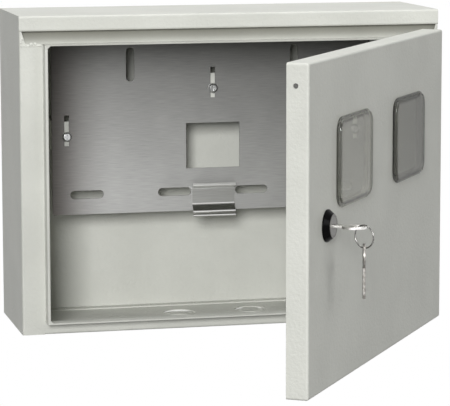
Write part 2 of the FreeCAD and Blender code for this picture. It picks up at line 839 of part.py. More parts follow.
def lock_cam():
    """Cam that hangs down unlocked and turns behind the free side's flange to lock."""
    reach = lock_x - free_lip + cam_overlap
    half = cam_width / 2
    y0 = cam_front
    y1 = cam_front + cam_sheet
    arm = block(lock_x - half, lock_x + half, y0, y1, lock_z - reach + half, lock_z)
    cam = arm.fuse(along_lock(half, y0, y1))
    tip = Vector(lock_x, y0, lock_z - reach + half)
    cam = cam.fuse(rod(half, tip, tip + Vector(0, cam_sheet, 0)))
    hole = plug_drive_size / 2 + drive_clearance
    cam = cam.cut(block(lock_x - hole, lock_x + hole, y0 - cut_margin, y1 + cut_margin,
                        lock_z - hole, lock_z + hole))
    return cam.removeSplitter()


def cam_washer():
    y0 = cam_front + cam_sheet
    y1 = y0 + cam_washer_height
    return along_lock(cam_washer_radius, y0, y1).cut(along_lock(cam_screw_radius + drive_clearance, y0, y1))


def cam_screw():
    seat = cam_front + cam_sheet + cam_washer_height
    shank = along_lock(cam_screw_radius, seat - cam_washer_height - cam_screw_depth, seat)
    head = hexagon(lock_x, lock_z, cam_screw_flats, seat, seat + cam_screw_head)
    return shank.fuse(head).removeSplitter()


# Keys and ring
def key_blank():
    """Flat key in the lock, its sheet level, with its bow towards the front."""
    half = key_sheet / 2
    tip = head_front + key_insertion
    w = key_blade_width / 2
    root = key_shoulder - key_strip / 2
    blade_points = [(lock_x - w, root), (lock_x - w, tip - w), (lock_x, tip),
                    (lock_x + w, tip - w), (lock_x + w, root)]
    key = polygon_face(blade_points, level(lock_z - half)).extrude(Vector(0, 0, key_sheet))
    bow_y = key_shoulder - key_bow_radius
    low = Vector(lock_x, bow_y, lock_z - half)
    high = Vector(lock_x, bow_y, lock_z + half)
    key = key.fuse(rod(key_bow_radius, low, high))
    hole_shift = Vector(0, key_end + key_strip + key_hole_radius - bow_y, 0)
    key = key.cut(rod(key_hole_radius, low + hole_shift, high + hole_shift))
    pitch = (key_insertion - 2 * w) / key_bit_count
    for k in range(key_bit_count):
        y = tip - w - (k + 0.5) * pitch
        depth = key_bit_depth if k % 2 else key_bit_depth * key_bit_shallow_share
        bit = block(lock_x + w - depth, lock_x + w + cut_margin, y - key_bit_width / 2, y + key_bit_width / 2,
                    lock_z - key_sheet, lock_z + key_sheet)
        key = key.cut(bit)
    return key.removeSplitter()


def key_ring():
    """Ring of drawn wire, many-sided in section."""
    section = []
    for k in range(ring_wire_sides):
        turn = math.radians((k + 0.5) * 360 / ring_wire_sides)
        section.append((ring_radius + ring_wire_radius * math.cos(turn), ring_wire_radius * math.sin(turn)))
    face = polygon_face(section, lambda outward, aside: Vector(lock_x + aside, ring_y, ring_z + outward))
    return face.revolve(Vector(lock_x, ring_y, ring_z), Vector(1, 0, 0), 360)


def spare_key():
    """A second key that hangs from the bottom of the ring, blade down."""
    key = key_blank()
    key.rotate(Vector(lock_x, key_end, lock_z), Vector(1, 0, 0), -90)
    wire_z = ring_z - ring_radius
    top = wire_z + ring_wire_radius + ring_clearance + key_strip
    key.translate(Vector(0, ring_y - key_end, top - lock_z))
    key.rotate(Vector(lock_x, ring_y, wire_z), Vector(0, 0, 1), spare_key_turn)
    return key


def swung_open(shape):
    shape.rotate(Vector(pivot_x, pivot_y, 0), Vector(0, 0, 1), door_open_angle)
    return shape


def fixed_pieces():
    wrap = body_wrap()
    pieces = {"body_wrap": wrap, "top_panel": top_panel(wrap), "bottom_panel": bottom_panel(wrap),
              "mounting_plate": mounting_plate(), "rail": rail()}
    for name, (x, z, _) in zip(("left", "center", "right"), screw_places()):
        pieces["plate_bracket_" + name] = plate_bracket(x, z)
        pieces["plate_screw_" + name] = plate_screw(x, z)
    x = right - stud_side_inset
    z = floor + stud_rise
    pieces["body_earth_stud"] = earth_stud(x, z, back_inside, body_stud_length, -1)
    pieces["body_earth_washer"] = earth_washer(x, z, back_inside, -1)
    pieces["body_earth_nut"] = earth_nut(x, z, back_inside, -1)
    for name, height in hinge_heights().items():
        pieces["hinge_body_leaf_" + name] = hinge_body_leaf(height)
    return pieces


def door_pieces():
    pieces = {"door_panel": door_panel(), "door_gasket": door_gasket()}
    for name, x in (("left", -meter_offset), ("right", meter_offset)):
        pieces["window_" + name] = window_pane(x)
        pieces["window_seal_" + name] = window_seal(x)
    for name, height in hinge_heights().items():
        pieces["hinge_door_leaf_" + name] = hinge_door_leaf(height)
        pieces["hinge_pin_" + name] = hinge_pin(height)
    x = right - stud_side_inset
    z = floor + stud_rise
    pieces["door_earth_stud"] = earth_stud(x, z, door_inside, door_stud_length, 1)
    pieces["door_earth_washer"] = earth_washer(x, z, door_inside, 1)
    pieces["door_earth_nut"] = earth_nut(x, z, door_inside, 1)
    pieces["lock_housing"] = lock_housing()
    pieces["lock_nut"] = lock_nut()
    pieces["lock_plug"] = lock_plug()
    pieces["lock_cam"] = lock_cam()
    pieces["cam_washer"] = cam_washer()
    pieces["cam_screw"] = cam_screw()
    pieces["key"] = key_blank()
    pieces["key_ring"] = key_ring()
    pieces["spare_key"] = spare_key()
    return pieces


def build():
    pieces = fixed_pieces()
    for name, shape in door_pieces().items():
        pieces[name] = swung_open(shape)
    return pieces


os.makedirs("parts", exist_ok=True)
for name, shape in build().items():
    shape.exportStep("parts/" + name + ".step")
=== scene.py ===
# %% [markdown]
# # A steel meter box, dressed for its picture
# The real object is a small wall box for two electricity meters. It is bent from thin steel sheet,
# powder-coated in light grey, with a zinc-plated plate inside and a door with two clear windows.
# The CAD model already has every fold at its true size, so this lesson mostly gives each piece the
# finish that its real surface has. Small things that a drawing leaves plain, such as the keys, the
# split ring, the screw heads and the threads, are made again here with more detail.

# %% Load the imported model
import json
import math
import random

import bmesh
import bpy
from mathutils import Matrix, Vector


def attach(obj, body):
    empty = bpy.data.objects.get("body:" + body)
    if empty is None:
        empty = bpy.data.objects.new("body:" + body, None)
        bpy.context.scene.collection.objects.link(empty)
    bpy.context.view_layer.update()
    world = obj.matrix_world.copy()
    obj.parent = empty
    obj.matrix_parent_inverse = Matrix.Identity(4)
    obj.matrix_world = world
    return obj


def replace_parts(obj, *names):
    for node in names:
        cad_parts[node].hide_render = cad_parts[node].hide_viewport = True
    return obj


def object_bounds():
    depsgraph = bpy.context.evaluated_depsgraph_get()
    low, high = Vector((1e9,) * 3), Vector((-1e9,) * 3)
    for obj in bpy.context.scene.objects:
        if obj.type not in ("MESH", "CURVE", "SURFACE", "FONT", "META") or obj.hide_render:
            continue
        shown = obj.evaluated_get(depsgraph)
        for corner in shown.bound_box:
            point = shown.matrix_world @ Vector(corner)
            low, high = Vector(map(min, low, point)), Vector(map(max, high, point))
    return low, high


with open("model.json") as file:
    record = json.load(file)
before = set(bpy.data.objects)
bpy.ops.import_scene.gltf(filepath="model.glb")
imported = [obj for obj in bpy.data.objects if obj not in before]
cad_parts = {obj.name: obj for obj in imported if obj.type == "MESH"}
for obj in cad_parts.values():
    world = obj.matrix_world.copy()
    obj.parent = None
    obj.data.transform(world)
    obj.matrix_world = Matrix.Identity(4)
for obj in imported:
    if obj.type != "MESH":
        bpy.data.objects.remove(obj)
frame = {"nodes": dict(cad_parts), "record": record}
cad_low, cad_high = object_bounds()
nodes = frame["nodes"]
print("CAD box in mm:", [round(1000 * (high - low)) for low, high in zip(cad_low, cad_high)])

# %% [markdown]
# ## Where the camera stands
# A camera's direction can be given by its heading, its tilt and its roll. The lens is long, so the
# box shows little perspective. The picture is 450 pixels wide, and the lens length in pixels over
# that width gives the lens in millimetres on a 36 mm sensor.

# %% Camera
MM = 0.001
IMAGE_WIDTH = 450.0
LENS_PIXELS = 2496.0
SENSOR = 36.0
CAMERA_PLACE = Vector((-571.0, -2491.4, 313.9)) * MM
CAMERA_HEADING = 13.4
CAMERA_TILT = 8.1
CAMERA_ROLL = 0.1
# In metres from the camera
NEAREST_SEEN = 0.05
FARTHEST_SEEN = 100.0


def camera_axes(heading, tilt, roll):
    """Right, up and back directions of a camera that looks along +Y at heading 0."""
    h = math.radians(heading)
    t = math.radians(tilt)
    forward = Vector((math.sin(h) * math.cos(t), math.cos(h) * math.cos(t), -math.sin(t)))
    right = Vector((math.cos(h), -math.sin(h), 0.0))
    down = forward.cross(right)
    r = math.radians(roll)
    turned_right = math.cos(r) * right + math.sin(r) * down
    turned_down = math.cos(r) * down - math.sin(r) * right
    return turned_right, -turned_down, -forward


def make_camera():
    data = bpy.data.cameras.new("camera")
    data.sensor_width = SENSOR
    data.lens = LENS_PIXELS / IMAGE_WIDTH * SENSOR
    data.clip_start = NEAREST_SEEN
    data.clip_end = FARTHEST_SEEN
    camera = bpy.data.objects.new("camera", data)
    bpy.context.scene.collection.objects.link(camera)
    axes = camera_axes(CAMERA_HEADING, CAMERA_TILT, CAMERA_ROLL)
    turn = Matrix([list(axis) for axis in axes]).transposed().to_4x4()
    camera.matrix_world = Matrix.Translation(CAMERA_PLACE) @ turn
    bpy.context.scene.camera = camera
    return data.lens


print("lens in mm:", round(make_camera(), 1))

# %% [markdown]
# ## Light
# The shadows in the box say where the lamps were. The narrow shadows beside and under the plate
# come from a small softbox that stands a little to the left of the camera and above it. The roof
# and the hood are the brightest faces, so a wide softbox hangs above the box. The open door faces
# right and still shows a middle grey, so a weak softbox stands on that side. The backdrop looks
# white to the camera and in reflections, but it gives the object no more light than a dim room
# would.

# %% Colours and nodes
WHITE = (1.0, 1.0, 1.0, 1.0)


def srgb(hex_value):
    """Linear colour of an sRGB hex value such as "D7D7D7"."""
    channels = []
    for i in (0, 2, 4):
        c = int(hex_value[i:i + 2], 16) / 255
        channels.append(c / 12.92 if c <= 0.04045 else ((c + 0.055) / 1.055) ** 2.4)
    return (*channels, 1.0)


def fill_socket(tree, socket, value):
    """Links an input to the output that is given, or sets its plain value."""
    if isinstance(value, bpy.types.NodeSocket):
        tree.links.new(value, socket)
    else:
        socket.default_value = value


def fill_inputs(tree, node, **values):
    """Fills inputs by name, with _ for a space."""
    for name, value in values.items():
        fill_socket(tree, node.inputs[name.replace("_", " ")], value)


def add_node(tree, kind, settings=None, **inputs):
    """Adds a node, sets its fields, and fills its inputs by number or by name."""
    node = tree.nodes.new(kind)
    for name, value in (settings or {}).items():
        if name in range(len(node.inputs)) or name in node.inputs.keys():
            fill_socket(tree, node.inputs[name], value)
        else:
            setattr(node, name, value)
    fill_inputs(tree, node, **inputs)
    return node


print("linear value of a middle grey:", round(srgb("808080")[0], 3))

# %% Softboxes
# Name: heading, height angle, distance and size in metres (width, height), level
SOFTBOXES = {
    "softbox_left_of_camera": (-20.0, 15.0, 4.5, 1.1, 1.4, 0.75),
    "softbox_right": (33.0, 20.0, 3.5, 1.5, 1.5, 0.20),
    "softbox_above": (0.0, 87.0, 2.6, 2.4, 1.6, 0.66),
}


def add_softbox(name, heading, height, distance, wide, tall, level):
    """Lamp aimed at the object. At level 1 a white face that looks at it renders white."""
    h = math.radians(heading)
    e = math.radians(height)
    away = Vector((math.sin(h) * math.cos(e), -math.cos(h) * math.cos(e), math.sin(e)))
    data = bpy.data.lights.new(name, "AREA")
    data.shape = "RECTANGLE"
    data.size = wide
    data.size_y = tall
    data.energy = level * math.pi ** 2 * distance ** 2
    lamp = bpy.data.objects.new(name, data)
    lamp.location = away * distance
    lamp.rotation_mode = "QUATERNION"
    lamp.rotation_quaternion = away.to_track_quat("Z", "Y")
    bpy.context.scene.collection.objects.link(lamp)


bpy.context.scene.view_settings.view_transform = "Standard"
for softbox_name, softbox in SOFTBOXES.items():
    add_softbox(softbox_name, *softbox)

# %% Room
ROOM_LEVEL = 0.08


def seen_as_backdrop(tree):
    """1 for camera, mirror and glass rays, which see the backdrop itself."""
    path = add_node(tree, "ShaderNodeLightPath").outputs
    either = add_node(tree, "ShaderNodeMath", {"operation": "MAXIMUM", 0: path["Is Camera Ray"],
                      1: path["Is Glossy Ray"]})
    seen = add_node(tree, "ShaderNodeMath", {"operation": "MAXIMUM", 0: either.outputs[0],
                    1: path["Is Transmission Ray"]})
    return seen.outputs[0]


def make_room():
    world = bpy.data.worlds.new("studio")
    bpy.context.scene.world = world
    world.use_nodes = True
    tree = world.node_tree
    tree.nodes.clear()
    dim = add_node(tree, "ShaderNodeBackground", {"Color": WHITE, "Strength": ROOM_LEVEL})
    white = add_node(tree, "ShaderNodeBackground", {"Color": WHITE, "Strength": 1.0})
    mix = add_node(tree, "ShaderNodeMixShader", {0: seen_as_backdrop(tree), 1: dim.outputs[0],
                   2: white.outputs[0]})
    add_node(tree, "ShaderNodeOutputWorld", Surface=mix.outputs[0])


make_room()
print("light of the room:", ROOM_LEVEL)

# %% [markdown]
# ## Floor
# A wall box has nothing under it, but a pale floor below it keeps the light of a real room: it
# throws a little light up at the box's underside. It is matt paint that takes the shadow near the
# box. Farther out it passes into the white backdrop, so no horizon shows.

# %% Floor
# Distances in metres
FLOOR_DROP = 0.62
FLOOR_SIZE = 60.0
FLOOR_FADE = (0.9, 1.9)
FLOOR_PAINT = "F4F4F2"
FLOOR_BOUNCE = "7C7C7A"


def far_share(tree, start, end):
    """0 near the object and 1 far from it, for the given distances in metres."""
    place = add_node(tree, "ShaderNodeTexCoord")
    distance = add_node(tree, "ShaderNodeVectorMath", {"operation": "LENGTH", 0: place.outputs["Object"]})
    share = add_node(tree, "ShaderNodeMapRange", {"interpolation_type": "SMOOTHSTEP",
                     "From Min": start, "From Max": end}, Value=distance.outputs["Value"])
    return share.outputs["Result"]


def floor_paint():
    """Paint that takes the shadow near the box and passes into the white backdrop farther out."""
    material = bpy.data.materials.new("painted_studio_floor")
    material.use_nodes = True
    tree = material.node_tree
    tree.nodes.clear()
    seen = seen_as_backdrop(tree)
    bounce = add_node(tree, "ShaderNodeBsdfDiffuse", {"Color": srgb(FLOOR_BOUNCE)})
    paint = add_node(tree, "ShaderNodeBsdfDiffuse", {"Color": srgb(FLOOR_PAINT)})
    near = add_node(tree, "ShaderNodeMixShader", {0: seen, 1: bounce.outputs[0], 2: paint.outputs[0]})
    white = add_node(tree, "ShaderNodeEmission", {"Color": WHITE, "Strength": 1.0})
    far = add_node(tree, "ShaderNodeMath", {"operation": "MULTIPLY", 0: seen,
                   1: far_share(tree, *FLOOR_FADE)})
    mix = add_node(tree, "ShaderNodeMixShader", {0: far.outputs[0], 1: near.outputs[0],
                   2: white.outputs[0]})
    add_node(tree, "ShaderNodeOutputMaterial", Surface=mix.outputs[0])
    return material


def make_floor():
    """A wide pale floor well below the wall box."""
    half = FLOOR_SIZE / 2
    z = cad_low.z - FLOOR_DROP
    mesh = bpy.data.meshes.new("floor")
    mesh.from_pydata([(-half, -half, z), (half, -half, z), (half, half, z), (-half, half, z)], [],
                     [(0, 1, 2, 3)])
    floor = bpy.data.objects.new("floor", mesh)
    bpy.context.scene.collection.objects.link(floor)
    mesh.materials.append(floor_paint())


make_floor()
print("floor below the box in mm:", round(FLOOR_DROP / MM))

# %% [markdown]
# ## Powder coat on steel sheet
# The shell is steel sheet with a light grey polyester powder coat. The powder is sprayed on dry and
# baked, and as it melts it draws up into a soft orange-peel surface with waves a few millimetres
# long. It is satin: it shows no mirror images, only a broad sheen. Polyester has an IOR near 1.5.
# Two patterns give the peel, and a third one, much larger, gives the slight change of tone that
# thicker and thinner coats have.

# %% Helpers for materials
def new_material(name):
    material = bpy.data.materials.new(name)
    material.use_nodes = True
    tree = material.node_tree
    tree.nodes.clear()
    shader = add_node(tree, "ShaderNodeBsdfPrincipled")
    add_node(tree, "ShaderNodeOutputMaterial", Surface=shader.outputs[0])
    return material, tree, shader


def waves_per_metre(size_mm):
    """Scale of a pattern whose features are about size_mm wide, for coordinates in metres."""
    return 1000.0 / size_mm


def cloudy(tree, size_mm, detail, stretch=(1.0, 1.0, 1.0)):
    """Cloudy 0 to 1 pattern of a real size, which may be stretched along an axis."""
    place = add_node(tree, "ShaderNodeTexCoord")
    scale = add_node(tree, "ShaderNodeMapping", {"Scale": stretch}, Vector=place.outputs["Object"])
    noise = add_node(tree, "ShaderNodeTexNoise", {"Scale": waves_per_metre(size_mm), "Detail": detail},
                     Vector=scale.outputs["Vector"])
    return noise.outputs["Fac"]


def tone_between(tree, pattern, low, dark, high, light):
    """Colour that turns from dark to light while a pattern goes from low to high."""
    ramp = add_node(tree, "ShaderNodeValToRGB", Fac=pattern)
    for element, place, colour in zip(ramp.color_ramp.elements, (low, high), (dark, light)):
        element.position = place
        element.color = colour
    return ramp.outputs["Color"]


def finish_surface(tree, shader, tone, pattern, roughness, relief, depth_mm):
    """Gives a finish its colour, a roughness that a pattern varies, and a relief of a real depth."""
    rough = add_node(tree, "ShaderNodeMapRange", {"To Min": roughness[0], "To Max": roughness[1]},
                     Value=pattern)
    bump = add_node(tree, "ShaderNodeBump", {"Strength": 1.0, "Distance": depth_mm * MM}, Height=relief)
    fill_inputs(tree, shader, Base_Color=tone, Roughness=rough.outputs["Result"],
                Normal=bump.outputs["Normal"])


print("scale of a 1 mm pattern:", waves_per_metre(1.0))

# %% Powder coat
COAT_LIGHT = "D3D4CD"
COAT_DARK = "CDCEC7"
COAT_CLOUD_MM = 60.0
COAT_ROUGHNESS = (0.44, 0.56)
PEEL_MM = 3.0
PEEL_DEPTH_MM = 0.33
FINE_PEEL_SHARE = 0.25


def powder_coat(name):
    material, tree, shader = new_material(name)
    fill_inputs(tree, shader, IOR=1.5, Specular_IOR_Level=0.35)
    cloud = cloudy(tree, COAT_CLOUD_MM, 3.0)
    tone = tone_between(tree, cloud, 0.35, srgb(COAT_DARK), 0.65, srgb(COAT_LIGHT))
    peel = cloudy(tree, PEEL_MM, 1.5)
    fine_peel = cloudy(tree, PEEL_MM / 4, 1.0)
    both = add_node(tree, "ShaderNodeMath", {"operation": "MULTIPLY_ADD", 0: fine_peel,
                    1: FINE_PEEL_SHARE, 2: peel})
    finish_surface(tree, shader, tone, peel, COAT_ROUGHNESS, both.outputs[0], PEEL_DEPTH_MM)
    return material


shell_coat = powder_coat("powder_coat_light_grey")
print("peel waves per metre:", round(waves_per_metre(PEEL_MM)))

# %% [markdown]
# ## Zinc-plated sheet
# The mounting plate is cold-rolled steel with a thin layer of zinc. Rolling leaves fine lines along
# the sheet, about 0.2 mm apart. That is too fine for a picture at one pixel to the millimetre, so
# the lines are drawn about three times as coarse. Zinc also has soft grey clouds a few centimetres
# wide where the bath left it thicker. The plate is also painted darker towards its top and its left
# edge: painted shade, where the box's roof and left lip shadow it. The rail is cut from brighter
# strip, and its web is duller than the flange and the bend below it.

# %% Rolled zinc
LINE_MM = 0.7
LINE_STRETCH = 22.0
ZINC_CLOUD_MM = 26.0
ZINC_CLOUD_SHARE = 0.2


def share_along(tree, axis, start_mm, end_mm):
    """0 at one place and 1 at another along an axis of the object, with a soft passage."""
    place = add_node(tree, "ShaderNodeTexCoord")
    parts = add_node(tree, "ShaderNodeSeparateXYZ", Vector=place.outputs["Object"])
    share = add_node(tree, "ShaderNodeMapRange", {"interpolation_type": "SMOOTHSTEP",
                     "From Min": start_mm * MM, "From Max": end_mm * MM}, Value=parts.outputs[axis])
    return share.outputs["Result"]


def rolled_zinc(name, light, dark, roughness, line_depth_mm, dull_span=None):
    """Clouds vary the roughness, or the given span of heights does."""
    material, tree, shader = new_material(name)
    fill_inputs(tree, shader, Metallic=1.0)
    lines = cloudy(tree, LINE_MM, 2.0, (1.0 / LINE_STRETCH, 1.0, 1.0))
    cloud = cloudy(tree, ZINC_CLOUD_MM, 4.0)
    both = add_node(tree, "ShaderNodeMath", {"operation": "MULTIPLY_ADD", 0: cloud,
                    1: ZINC_CLOUD_SHARE, 2: lines})
    tone = tone_between(tree, both.outputs[0], 0.35, srgb(dark), 0.85, srgb(light))
    dullness = share_along(tree, "Z", *dull_span) if dull_span else cloud
    finish_surface(tree, shader, tone, dullness, roughness, lines, line_depth_mm)
    return material


print("rolled lines per metre:", round(waves_per_metre(LINE_MM)))

# %% Sheet and strip
# Places in millimetres between which the plate's painted shade, or the shine of the rail, fades
ROOF_SHADE_SPAN = (125.0, -50.0)
LEFT_LIP_SHADE_SPAN = (-176.0, -100.0)
WEB_SPAN = (-46.0, -43.0)


def paint_shade(material, share, dark):
    """Painted shade: multiplies a colour by dark where share is 0, and leaves it where share is 1."""
    tree = material.node_tree
    shader = next(node for node in tree.nodes if node.type == "BSDF_PRINCIPLED")
    base_color = shader.inputs["Base Color"]
    tint = tone_between(tree, share, 0.0, srgb(dark), 1.0, WHITE)
    mix = add_node(tree, "ShaderNodeMix", {"data_type": "RGBA", "blend_type": "MULTIPLY", "Factor": 1.0})
    colour_a, colour_b = [socket for socket in mix.inputs if socket.type == "RGBA"]
    tree.links.new(base_color.links[0].from_socket, colour_a)
    tree.links.new(tint, colour_b)
    tree.links.new(next(socket for socket in mix.outputs if socket.type == "RGBA"), base_color)


zinc_sheet = rolled_zinc("rolled_zinc_sheet", "B2B2B0", "A1A1A0", (0.46, 0.58), 0.012)
# Painted shade: darker towards the top, where the roof shadows the plate, and towards the left edge, where
# the left lip does.
paint_shade(zinc_sheet, share_along(zinc_sheet.node_tree, "Z", *ROOF_SHADE_SPAN), "AFAFAE")
paint_shade(zinc_sheet, share_along(zinc_sheet.node_tree, "X", *LEFT_LIP_SHADE_SPAN), "8E8885")
zinc_strip = rolled_zinc("bright_zinc_strip", "E2E2E0", "D2D2D0", (0.13, 0.32), 0.002, WEB_SPAN)
print("zinc finishes:", zinc_sheet.name, zinc_strip.name)

# %% [markdown]
# ## Painted shade under the hood
# The band under the hood's lower fold is painted darker at its top: painted shade, where the hood
# shadows it. The tone rises towards the lip.

# %% Coat of the top panel, with painted shade under the hood
HOOD_BOTTOM = 140.0
LIP_HEIGHT = 119.0
FOLD_PASSAGE = 0.6
hood_coat_painted_shade = powder_coat("powder_coat_painted_shade_under_hood")
hood_shade_tree = hood_coat_painted_shade.node_tree
shade_fade_down = share_along(hood_shade_tree, "Z", HOOD_BOTTOM, LIP_HEIGHT)
shade_fade_up = share_along(hood_shade_tree, "Z", HOOD_BOTTOM, HOOD_BOTTOM + FOLD_PASSAGE)
clear_of_painted_shade = add_node(hood_shade_tree, "ShaderNodeMath", {"operation": "MAXIMUM", 0: shade_fade_down,
                         1: shade_fade_up})
# Painted shade: the colour is darkened where the hood shadows the band.
paint_shade(hood_coat_painted_shade, clear_of_painted_shade.outputs[0], "A3A29C")
# The span of the painted shade, in millimetres
print("thin coat between", LIP_HEIGHT, "and", HOOD_BOTTOM)

# %% [markdown]
# ## Small metal parts
# Screws, nuts and washers are bright zinc, blue-white, with a satin surface from tumbling in drums.
# The keys, the ring and the lock's face are nickel plated, warmer and smoother. Nickel on things
# that are handled gets fine scratches, so its roughness changes from place to place.

# %% Bright zinc and nickel
def plated(name, light, dark, roughness, scratch_mm, scratch_depth_mm):
    material, tree, shader = new_material(name)
    fill_inputs(tree, shader, Metallic=1.0)
    scuff = cloudy(tree, scratch_mm, 3.0, (1.0, 0.3, 1.0))
    tone = tone_between(tree, scuff, 0.3, srgb(dark), 0.7, srgb(light))
    finish_surface(tree, shader, tone, scuff, roughness, scuff, scratch_depth_mm)
    return material


bright_zinc = plated("barrel_plated_zinc", "DCDDDD", "C9CACB", (0.22, 0.38), 1.2, 0.006)
nickel = plated("nickel_plate", "B9B8B6", "8E8D8A", (0.12, 0.26), 0.8, 0.008)
# The two keys are one nickel in two tones: lighter for the key in the lock, and darker, as painted shade,
# for the spare key that hangs below it.
lit_key_nickel = plated("key_nickel_lit_copy", "F6F5F2", "DAD8D4", (0.24, 0.36), 2.0, 0.01)
shaded_key_nickel = plated("key_nickel_shaded_copy", "A8A6A2", "6E6B66", (0.34, 0.46), 2.6, 0.02)
spring_steel = plated("nickelled_spring_steel", "A9A8A6", "5A5957", (0.14, 0.24), 1.5, 0.004)
satin_nickel = plated("satin_nickel", "757471", "5C5B58", (0.3, 0.42), 0.5, 0.006)
print("plated finishes:", bright_zinc.name, nickel.name, satin_nickel.name)

# %% [markdown]
# ## Black lock housing, rubber and foam
# The lock's housing is a casting with a smooth black coat, glossy enough for a sharp highlight.
# The window seals are black rubber, which is nearly matt. The door's gasket is closed-cell foam that
# is poured on as a bead, so it has a slightly lumpy skin with small pores.

# %% Black coat, rubber, foam
def moulded(name, light, dark, gloss, roughness, grain_mm, depth_mm):
    material, tree, shader = new_material(name)
    fill_inputs(tree, shader, IOR=1.5, Specular_IOR_Level=gloss)
    grain = cloudy(tree, grain_mm, 3.0)
    tone = tone_between(tree, grain, 0.3, srgb(dark), 0.7, srgb(light))
    finish_surface(tree, shader, tone, grain, roughness, grain, depth_mm)
    return material


black_coat = moulded("black_enamel", "040405", "020202", 0.05, (0.14, 0.22), 2.5, 0.01)
seal_rubber = moulded("black_rubber", "1C1C1C", "141414", 0.1, (0.6, 0.75), 0.8, 0.02)
seal_foam = moulded("closed_cell_foam", "3A3A3A", "2C2C2C", 0.1, (0.8, 0.95), 1.6, 0.25)
print("dark finishes:", black_coat.name, seal_rubber.name, seal_foam.name)

# %% [markdown]
# ## Clear polycarbonate windows
# The windows are injection-moulded polycarbonate, IOR 1.58. A clear moulding bends light only at its
# thick rim, where it turns dark and bright in narrow lines. The pane itself lets the inside of the
# box show through, a little grey. The right one is a darker copy of the same plastic: painted shade
# for the darker inside of the box behind it. Its skin is matt against glare, so only a share of it
# mirrors.

# %% Polycarbonate
GLARE_SHARE = 0.34
HAZE_MM = 18.0
PANE_ROUGHNESS = (0.02, 0.06)
PANE_IOR = 1.58


def clear_moulding(name, tint, smoke):
    """Refracting plastic, of which only a share mirrors: the rest passes through a smoky tint."""
    material, tree, shader = new_material(name)
    haze = cloudy(tree, HAZE_MM, 3.0)
    rough = add_node(tree, "ShaderNodeMapRange", {"To Min": PANE_ROUGHNESS[0],
                     "To Max": PANE_ROUGHNESS[1]}, Value=haze)
    fill_inputs(tree, shader, Base_Color=srgb(tint), IOR=PANE_IOR, Transmission_Weight=1.0,
                Roughness=rough.outputs["Result"])
    through = add_node(tree, "ShaderNodeBsdfTransparent", {"Color": srgb(smoke)})
    mix = add_node(tree, "ShaderNodeMixShader", {0: GLARE_SHARE, 1: through.outputs[0],
                   2: shader.outputs[0]})
    output = next(node for node in tree.nodes if node.type == "OUTPUT_MATERIAL")
    fill_inputs(tree, output, Surface=mix.outputs[0])
    return material


clear_plastic = clear_moulding("clear_polycarbonate", "B4B4AF", "DFDFDA")
# Darker copy for the right window: painted shade for the shadowed inside of the box behind it.
right_window_shaded_plastic = clear_moulding("polycarbonate_painted_shade", "A6A6A2", "C6C6C2")
print("window finishes:", clear_plastic.name, right_window_shaded_plastic.name)

# %% [markdown]
# ## Give the CAD pieces their finishes
# Every piece that the CAD model has right keeps its shape. It only gets its material, by name.

# %% Finishes of the CAD pieces
FINISH = {
    "shell_paint": shell_coat,
    "zinc_plate": zinc_sheet,
    "bright_zinc": bright_zinc,
    "foam": seal_foam,
    "seal_rubber": seal_rubber,
    "clear_plastic": clear_plastic,
    "black_housing": black_coat,
    "nickel": nickel,
}
SPECIAL_FINISH = {
    "top_panel": hood_coat_painted_shade,
    "rail": zinc_strip,
    "lock_plug": satin_nickel,
    "plate_bracket_left": shell_coat,
    "plate_bracket_center": shell_coat,
    "plate_bracket_right": shell_coat,
}
slot_of = {part["node"]: part["material_slot"] for part in frame["record"]["subparts"]}


def dress(obj, material):
    obj.data.materials.clear()
    obj.data.materials.append(material)


for node_name, obj in nodes.items():
    dress(obj, SPECIAL_FINISH.get(node_name, FINISH[slot_of[node_name]]))
print("dressed", len(nodes), "CAD pieces")

# %% [markdown]
# ## Places on the door
# Sizes are in millimetres, as on the drawing. It is easiest to think of the door as closed, with
# its face to the front, and to turn each finished piece about the hinge to where the door stands.

# %% Door places
DOOR_OPEN = 56.2
DOOR_FACE = -150.0
PIVOT = Vector((202.5, -145.0, 0.0)) * MM
LOCK_X = -158.0
LOCK_Z = -8.0
swing = (Matrix.Translation(PIVOT) @ Matrix.Rotation(math.radians(DOOR_OPEN), 4, "Z")
         @ Matrix.Translation(-PIVOT))
lock_face = swing @ (Vector((LOCK_X, DOOR_FACE, LOCK_Z)) * MM)
print("lock on the open door, mm:", [round(1000 * value, 1) for value in lock_face])

# %% [markdown]
# ## Making a piece
# Smooth shading takes the mean of the faces around a corner. Next to a thin bevel that would tilt the
# normals of a wide flat face, and a clear pane or a metal plate would then look dented. So each
# corner's normal counts a face by its area, which keeps flat faces flat and lets the bevels blend.

# %% Making a piece
SMOOTH_ANGLE = math.radians(50)


def corner_normals(mesh):
    """Sets normals that count each face by its area, within the smooth angle."""
    around = [[] for _ in mesh.vertices]
    for face in mesh.polygons:
        for index in face.vertices:
            around[index].append(face)
    least = math.cos(SMOOTH_ANGLE)
    normals = []
    for face in mesh.polygons:
        for index in face.vertices:
            total = Vector((0.0, 0.0, 0.0))
            for other in around[index]:
                if face.normal.dot(other.normal) > least:
                    total += other.area * other.normal
            normals.append(total.normalized())
    mesh.normals_split_custom_set(normals)


def make_piece(name, bm, material, body):
    """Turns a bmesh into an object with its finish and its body."""
    bmesh.ops.recalc_face_normals(bm, faces=bm.faces)
    mesh = bpy.data.meshes.new(name)
    bm.to_mesh(mesh)
    bm.free()
    mesh.shade_smooth()
    corner_normals(mesh)
    mesh.materials.append(material)
    piece = bpy.data.objects.new(name, mesh)
    bpy.context.scene.collection.objects.link(piece)
    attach(piece, body)
    return piece


print("faces blend up to", round(math.degrees(SMOOTH_ANGLE)), "degrees")

# %% Loops of points
# Points nearer than this, in millimetres, are one point
SAME_POINT = 0.001
AS_DRAWN = Matrix.Identity(4)


